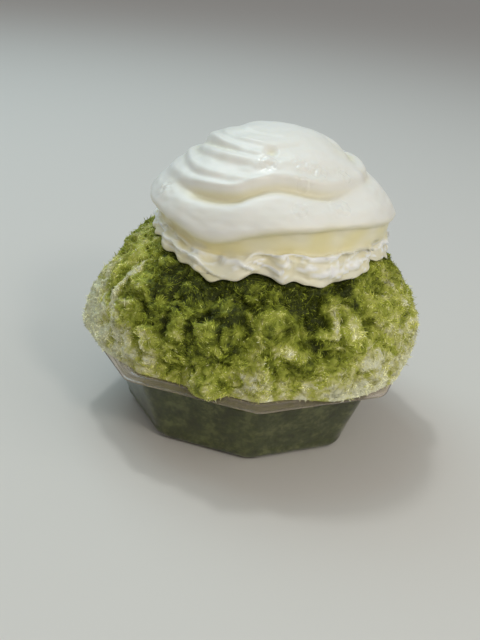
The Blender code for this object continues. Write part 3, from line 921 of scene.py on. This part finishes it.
# Thin edges of the ruffles: each slopes away above and is cut back below.
# A route's stops are (azimuth, height, how far it stands out)
creamCrests = (
    {
        "route": (
            (-16, 47.0, 0.0), (-11, 49.2, 1.4), (-5, 50.0, 2.0), (1, 49.0, 1.8), (6, 50.6, 2.3),
            (10, 50.0, 2.2), (14, 49.0, 2.2), (20, 48.7, 2.6), (27, 49.5, 3.1), (32, 51.0, 3.5),
            (38, 51.2, 3.6), (45, 51.3, 3.1), (53, 50.2, 1.9), (60, 49.0, 0.0),
        ),
        "above": 1.5, "below": 0.6,
    },
    {
        "route": (
            (1, 49.8, 0.0), (4, 49.2, 1.4), (7, 48.1, 1.7), (11, 47.1, 1.8), (14, 46.3, 1.9),
            (19, 45.1, 1.9), (24, 45.1, 1.8), (29, 46.2, 1.6), (35, 48.4, 1.3), (40, 50.0, 0.0),
        ),
        "above": 1.4, "below": 0.6,
    },
    {
        "route": (
            (-14, 47.6, 0.0), (-9, 46.8, 1.4), (-4, 45.3, 2.0), (1, 44.8, 1.9), (6, 46.2, 2.0),
            (10, 45.6, 2.1), (13, 44.6, 2.1), (17, 43.8, 2.2), (22, 43.2, 2.2), (29, 43.0, 2.2),
            (33, 43.5, 2.1), (39, 44.6, 2.1), (47, 46.9, 2.1), (54, 48.8, 1.4), (62, 50.0, 0.0),
        ),
        "above": 1.6, "below": 0.7,
    },
    {
        "route": (
            (-84, 52.0, 0.0), (-72, 51.2, 1.5), (-60, 49.9, 2.3), (-50, 48.5, 2.4), (-42, 46.8, 2.3),
            (-36, 45.8, 2.0), (-30, 45.6, 2.1), (-24, 45.6, 2.1), (-18, 46.2, 1.8), (-12, 45.0, 1.4),
            (-6, 43.6, 0.0),
        ),
        "above": 2.2, "below": 0.8,
    },
    {
        "route": (
            (-88, 49.0, 0.0), (-76, 48.6, 1.6), (-64, 47.4, 2.4), (-52, 45.5, 2.5), (-41, 44.3, 2.5),
            (-34, 43.4, 2.3), (-28, 41.4, 1.6), (-22, 40.4, 0.0),
        ),
        "above": 2.2, "below": 0.8,
    },
    {
        "route": (
            (58, 46.0, 0.0), (70, 47.6, 1.9), (84, 48.8, 2.2), (98, 47.2, 1.9), (112, 48.4, 2.1),
            (128, 50.0, 2.1), (146, 48.0, 2.2), (162, 49.6, 2.1), (184, 48.0, 2.2), (204, 50.0, 2.2),
            (226, 48.2, 2.1), (246, 49.8, 1.9), (262, 50.6, 1.4), (272, 51.0, 0.0),
        ),
        "above": 1.8, "below": 0.8,
    },
    {
        "route": (
            (74, 43.4, 0.0), (88, 44.4, 1.9), (104, 44.0, 2.1), (122, 45.4, 1.9), (140, 44.2, 2.2),
            (160, 45.6, 2.1), (176, 44.2, 2.1), (196, 45.8, 2.2), (216, 44.4, 2.1), (238, 45.6, 1.9),
            (258, 46.6, 1.6), (276, 47.6, 0.0),
        ),
        "above": 2.0, "below": 0.8,
    },
)
# How much the edges vary, and how deep they are cut back below
crestShape = {"undercut": 0.4, "jag": 0.6, "jagSize": 4.0, "swell": 0.9, "swellSize": 6.0}

# Soft hollows in the dome: (azimuth, distance down from the top, radius, depth)
creamHollows = ((-11, 24.4, 3.6, 1.3), (-4, 26.0, 5.5, 0.5), (150, 18.0, 6.0, 0.8), (70, 38.0, 7.0, 0.7))

# Fine ruffles that run along the skirt: the height that they follow, and (length, width, how far out)
ruffleShape = {
    "flow": (
        (-180, 47.5), (-140, 46.5), (-110, 49.5), (-84, 51.0), (-60, 48.6), (-41, 45.5), (-28, 44.5),
        (-16, 46.0), (-5, 47.8), (3, 46.6), (10, 47.8), (20, 46.0), (30, 46.8), (42, 49.5), (56, 48.0),
        (84, 46.5), (120, 48.0),
    ),
    "grades": ((10.0, 2.4, 1.4), (6.0, 1.5, 0.5)),
    "strength": (
        (-180, 1.0), (-105, 1.0), (-75, 0.7), (-22, 0.5), (-8, 0.45), (20, 0.45), (60, 0.7), (100, 1.0),
    ),
    # how much painted light the skirt and its thin edges get round the cream
    "skirtLight": (
        (-180, 0.9), (-100, 0.9), (-60, 0.55), (-25, 0.6), (-5, 1.0), (18, 1.1), (55, 1.1), (95, 0.9),
    ),
}

# Bumpy wet patches on the dome: (azimuth, distance down from the top, radius)
wetPatches = (
    (-11, 31, 7), (13, 31, 6), (24, 34, 7), (12, 39, 5), (43, 37, 6), (-70, 53, 6), (8, 50, 6), (30, 49, 8),
    (110, 36, 7), (165, 34, 8), (215, 42, 7), (-110, 47, 6),
)

creamLook = {
    "plain": ((0.35, (0.83, 0.805, 0.73)), (0.65, (0.87, 0.845, 0.78))),
    # The shaded colour is painted shade, and the ridge colour is painted highlight on the skirt's ridges
    "shaded": (0.79, 0.715, 0.41, 1.0),
    "ridgeHighlight": (0.985, 0.98, 0.95, 1.0),
    # roughness where it is dry, and how much less where it is wet
    "roughness": (0.44, 0.33),
    # strength of the fine bumps where it is dry, and how much more where it is wet
    "pores": (0.4, 2.6),
}


def spline(controls, steps):
    padded = [2 * controls[0] - controls[1], *controls, 2 * controls[-1] - controls[-2]]
    curve = []
    for before, start, end, after, count in zip(padded, padded[1:], padded[2:], padded[3:], steps):
        for t in np.arange(count) / count:
            second = (2 * before - 5 * start + 4 * end - after) * t**2
            third = (3 * start - before - 3 * end + after) * t**3
            curve.append(0.5 * (2 * start + (end - before) * t + second + third))
    return np.array(curve + [controls[-1]])


# (radius, height) down the cream's outside at each azimuth, from its top to its lower edge
def creamControls(azimuth):
    s = creamShape
    reach, foot = skirtPlace(azimuth)
    lip = around(s["lipHeight"], azimuth)
    ruffle = sum(wave(azimuth, *ruffle) for ruffle in s["ruffles"])
    middle = (lip + foot) / 2
    recess = s["bandRecess"] * (1 - s["recessLean"] * np.sin(np.radians(azimuth)))
    recess = recess * smoothStep((lip - foot - 3) / 13)
    level = np.ones_like(azimuth)
    radius = s["lipRadius"]
    pairs = [(out * level, (s["top"] - drop) * level) for out, drop in s["dome"]]
    over = pairs[-1][1] - lip
    pairs += [
        (level * (radius - 3.2), lip + 0.64 * over),
        (level * (radius - 0.8), lip + 0.34 * over),
        (level * radius, lip + 0.4 + 0.14 * over),
        (level * (radius - 0.8), lip + 0.1),
        (radius - 0.4 - 0.75 * recess, lip - 1.5),
        (radius - 0.4 - recess, middle + 1.8),
        (reach - 2.0 + ruffle, middle - 1.4),
        (reach - 0.3 + ruffle, foot + 2.0),
        (reach - 0.4, foot + creamPlace["bedGap"]),
    ]
    return np.array(pairs)


def foldLift(azimuth, walked):
    lift = np.zeros_like(walked)
    for fold in creamFolds:
        route = fold["route"]
        for turn in range(-1, 2):
            angle = azimuth + 360 * turn
            inside = (angle >= route[0][0]) & (angle <= route[-1][0])
            below = walked - eased(route, angle)
            width = np.where(below > 0, fold["ramp"], fold["steep"])
            brow = fold["brow"] * np.exp(-((below / fold["steep"] + 1.9) ** 2))
            groove = np.exp(-(np.abs(below / width) ** 1.8))
            lift += inside * np.maximum(0.0, eased(route, angle, 2)) * (brow - groove)
    return lift


def crestLift(azimuth, places):
    s = crestShape
    height = places[..., 2] + s["jag"] * clouds(places * (1, 1, 0.4), s["jagSize"], 9.0)
    swell = 1 + s["swell"] * clouds(places, s["swellSize"], 3.0)
    lift = np.zeros_like(height)
    for crest in creamCrests:
        route = crest["route"]
        for turn in range(-1, 2):
            angle = azimuth + 360 * turn
            inside = (angle >= route[0][0]) & (angle <= route[-1][0])
            over = height - eased(route, angle)
            slope = np.clip(1 - over / crest["above"], 0, 1) ** 1.5
            drop = np.clip(1 + over / crest["below"], 0, 1) ** 1.5
            cut = s["undercut"] * np.exp(-((over / crest["below"] + 1.6) ** 2))
            out = np.maximum(0.0, eased(route, angle, 2)) * swell
            lift = np.maximum(lift, inside * out * np.where(over > 0, slope, drop)) - inside * out * cut
    return lift


# The ruffles' last 8 degrees fade into where the first ones start, so that no seam shows
def ruffleLift(azimuth, places):
    along = np.radians(azimuth) * creamPlace["skirtRadius"]
    down = places[..., 2] - around(ruffleShape["flow"], azimuth)
    lift = np.zeros_like(down)
    for length, width, out in ruffleShape["grades"]:
        axes = np.broadcast_arrays(along / length, down / width, 0.06 * places[..., 2])
        stretched = np.stack(axes, axis=-1)
        once = (math.tau * creamPlace["skirtRadius"] / length, 0, 0)
        closed = smoothStep((azimuth - 352) / 8)
        here = windings(stretched, 1.0, 30.0, fine=2.6)
        there = windings(stretched - once, 1.0, 30.0, fine=2.6)
        lift += out * ((1 - closed) * here + closed * there) ** 1.2
    return (lift - 0.9) * around(ruffleShape["strength"], azimuth)


def creamFinish():
    finish = Finish("whippedCream", {
        "Subsurface Weight": 0.12,
        "Subsurface Radius": (1.0, 0.85, 0.6),
        "Subsurface Scale": 0.0015,
        "Specular IOR Level": 0.55,
    })
    wet = finish.attribute("wet")
    plain = finish.ramp(finish.speckle(14.0), creamLook["plain"])
    # Painted shade: a yellowish colour blended in by the shade mark
    colour = finish.blend(finish.attribute("shade"), plain, creamLook["shaded"])
    # Painted highlight: a near-white colour blended in on the ridges by the crest mark
    colour = finish.blend(finish.attribute("crest"), colour, creamLook["ridgeHighlight"])
    rough, smoother = creamLook["roughness"]
    dry, more = creamLook["pores"]
    return finish.feed(
        colour=colour,
        roughness=rough - smoother * wet,
        normal=finish.bump(finish.speckle(1.1) * (dry + more * wet), 0.10, 0.5),
    )


# How far the cream's surface is lifted off its plain form, where it gets painted shade and painted highlight
# on its ridges, and where it is wet
def creamRelief(azimuth, curve, walked, plain):
    radius, height = curve[:, 0], curve[:, 1]
    lip = around(creamShape["lipHeight"], azimuth)
    middle = (lip + skirtPlace(azimuth)[1]) / 2
    outer = smoothStep(radius / 30)
    inSkirt = smoothStep((lip - 2 - height) / 5) * outer
    low = smoothStep((middle + 2.5 - height) / 3) * outer
    edge = smoothStep((walked[-1] - walked) / 2.6)

    def near(where, down, size):
        across = np.radians(apart(azimuth, where)) * radius
        return 1 - smoothStep(np.hypot(across, walked - down) / size)

    wet = np.max([near(*patch) for patch in wetPatches], axis=0)
    hollows = sum(depth * near(where, down, size) for where, down, size, depth in creamHollows)
    size, out = creamShape["soft"]
    soft = out * clouds(plain, size, 4.0)
    size, out = creamShape["streaks"]
    soft += out * clouds(plain * (1, 1, 2.5), size, 7.0)
    size, out = creamShape["bumps"]
    bumps = out * clouds(plain, size, 2.0) * wet
    strokes = ruffleLift(azimuth, plain) * low * edge
    crests = crestLift(azimuth, plain) * inSkirt ** 0.3 * (0.35 + 0.65 * edge)
    folds = foldLift(azimuth, walked)
    lift = folds + crests - hollows
    lift += (soft + bumps) * smoothStep(walked / 12) + strokes

    # Painted highlight: the ridge tops, with the light share round the skirt, are whitened and lose their
    # painted shade
    ridgeHighlight = np.maximum(smoothStep((crests - 0.7) / 0.8), smoothStep((strokes - 0.05) / 0.45))
    skirtLight = around(ruffleShape["skirtLight"], azimuth)
    # Painted shade: a yellowish shade under the lip, over the band and the skirt
    shade = smoothStep((lip + 4.0 - height) / 6.5) * outer
    shade *= 1 - low * np.clip(skirtLight * (0.4 + 0.7 * ridgeHighlight), 0, 1)
    # Painted shade in the fold grooves and the hollows
    pocketShade = 0.26 * np.clip(-folds - 0.7, 0, 2.5) + 0.35 * np.clip(hollows - 0.4, 0, 1)
    shade = np.maximum(shade * (0.85 + 0.5 * clouds(plain, 7.0, 6.0)), pocketShade)
    wet = np.maximum(wet, low * edge * (0.2 + 0.15 * ridgeHighlight))
    # The crest mark is where painted highlight whitens the ridges
    return lift, {"shade": shade, "wet": wet, "crest": low * edge * ridgeHighlight * np.clip(skirtLight, 0, 1)}


def makeCream():
    s = creamShape
    columns = s["columns"]
    azimuth = np.arange(columns) * 360 / columns
    controls = creamControls(azimuth)
    spans = np.linalg.norm(np.diff(controls, axis=0), axis=1).mean(axis=1)
    curve = spline(controls, [max(2, round(span / s["rowGap"])) for span in spans])
    stride = np.linalg.norm(np.diff(curve, axis=0), axis=1)
    walked = np.concatenate([np.zeros((1, columns)), np.cumsum(stride, axis=0)])
    along = np.gradient(curve, axis=0)
    along /= np.maximum(1e-9, np.linalg.norm(along, axis=1, keepdims=True))
    plain = atAzimuth(azimuth, curve[:, 0], curve[:, 1], creamPlace["middle"])
    lift, marks = creamRelief(azimuth, curve, walked, plain)
    radius = np.maximum(0.0, curve[:, 0] - along[:, 1] * lift)
    height = curve[:, 1] + along[:, 0] * lift
    points = atAzimuth(azimuth, radius, 0.0, creamPlace["middle"])
    taper = np.minimum(1.0, (walked[-1] - walked) / s["edgeTaper"])
    lowest = bedHeight(points[..., 0], points[..., 1]) + (creamPlace["bedGap"] + s["edgeThick"] * taper)
    points[..., 2] = rimTop + np.maximum(height, lowest)
    rings = list(points[1:])
    rings += [bedRing(azimuth, part, creamPlace["bedGap"]) for part in s["bedRings"]]
    foot = rimTop + bedHeight(*creamPlace["middle"]) + creamPlace["bedGap"]
    body = np.concatenate(rings + [[points[0, 0]], [[*creamPlace["middle"], foot]]])
    faces = gridFaces(len(rings), columns, flip=True).tolist()
    faces += capFaces(0, columns, len(body) - 2).tolist()
    faces += capFaces((len(rings) - 1) * columns, columns, len(body) - 1, flip=True).tolist()
    values = {}
    for label, numbers in marks.items():
        values[label] = np.append(numbers[1:].ravel(), np.zeros(len(body) - numbers[1:].size))
    newPiece("creamDome", body, faces, creamFinish(), "whipped_cream", values=values)


# The stage: a plain pale floor, soft light and the photograph's viewing angle
stageLook = {
    "floorSize": 12.0,
    "floorColour": (0.66, 0.62, 0.57, 1.0),
    "worldColour": (0.95, 0.97, 0.99, 1.0),
    "worldStrength": 0.32,
    # name: (place in metres, size, watts, colour)
    "lights": {
        "skyWindow": ((-0.45, 0.60, 1.15), 1.1, 6.8, (0.60, 0.88, 1.0)),
        "ceilingLamp": ((-0.25, 0.42, 1.30), 0.12, 2.8, (0.95, 0.98, 1.0)),
        "deskLamp": ((0.45, -0.85, 0.72), 0.16, 2.3, (1.0, 0.98, 0.94)),
        "rightWindow": ((0.85, -0.45, 0.78), 0.8, 2.0, (0.97, 1.0, 0.97)),
        "frontFill": ((0.20, -1.20, 0.80), 1.2, 3.3, (1.0, 0.90, 0.74)),
    },
}

cameraLook = {
    "place": (-0.0301, -0.360, 0.1872),
    "turn": 4.0,
    "down": 22.4,
    "roll": 5.35,
    "lens": 52.48,
    "sensor": 36.0,
}


def makeStage():
    size = stageLook["floorSize"] / 2
    mesh = bpy.data.meshes.new("floor")
    corners = [(-size, -size, 0), (size, -size, 0), (size, size, 0), (-size, size, 0)]
    mesh.from_pydata(corners, [], [(0, 1, 2, 3)])
    floor = bpy.data.objects.new("floor", mesh)
    finish = Finish("paleFloor", {"Base Color": stageLook["floorColour"], "Roughness": 0.7})
    mesh.materials.append(finish.material)
    bpy.context.scene.collection.objects.link(floor)
    world = bpy.data.worlds.new("soft room")
    world.use_nodes = True
    background = world.node_tree.nodes["Background"]
    background.inputs["Color"].default_value = stageLook["worldColour"]
    background.inputs["Strength"].default_value = stageLook["worldStrength"]
    bpy.context.scene.world = world
    for name, (place, width, watts, colour) in stageLook["lights"].items():
        lamp = bpy.data.lights.new(name, "AREA")
        lamp.size = width
        lamp.energy = watts
        lamp.color = colour
        made = bpy.data.objects.new(name, lamp)
        made.location = place
        made.rotation_euler = (-Vector(place)).to_track_quat("-Z", "Y").to_euler()
        bpy.context.scene.collection.objects.link(made)
    bpy.context.scene.view_settings.view_transform = "Standard"


def makeCamera():
    s = cameraLook
    turn, down, roll = (math.radians(s[name]) for name in ("turn", "down", "roll"))
    ahead = Vector((math.sin(turn) * math.cos(down), math.cos(turn) * math.cos(down), -math.sin(down)))
    level = ahead.cross(Vector((0, 0, 1))).normalized()
    upward = level.cross(ahead)
    right = level * math.cos(roll) + upward * math.sin(roll)
    top = upward * math.cos(roll) - level * math.sin(roll)
    camera = bpy.data.objects.new("camera", bpy.data.cameras.new("camera"))
    turned = Matrix((right, top, -ahead)).transposed().to_4x4()
    camera.matrix_world = Matrix.Translation(s["place"]) @ turned
    camera.data.lens = s["lens"]
    camera.data.sensor_width = s["sensor"]
    camera.data.clip_start = 0.01
    bpy.context.scene.collection.objects.link(camera)
    bpy.context.scene.camera = camera


makeStage()
makeCamera()
makeBowl()
heapGround = makeHeap()
for kindName, kindValues in crystalKinds.items():
    sowCrystals(kindName, kindValues, heapGround)
sowFibres(heapGround)
makeCream()

print("all pieces made")
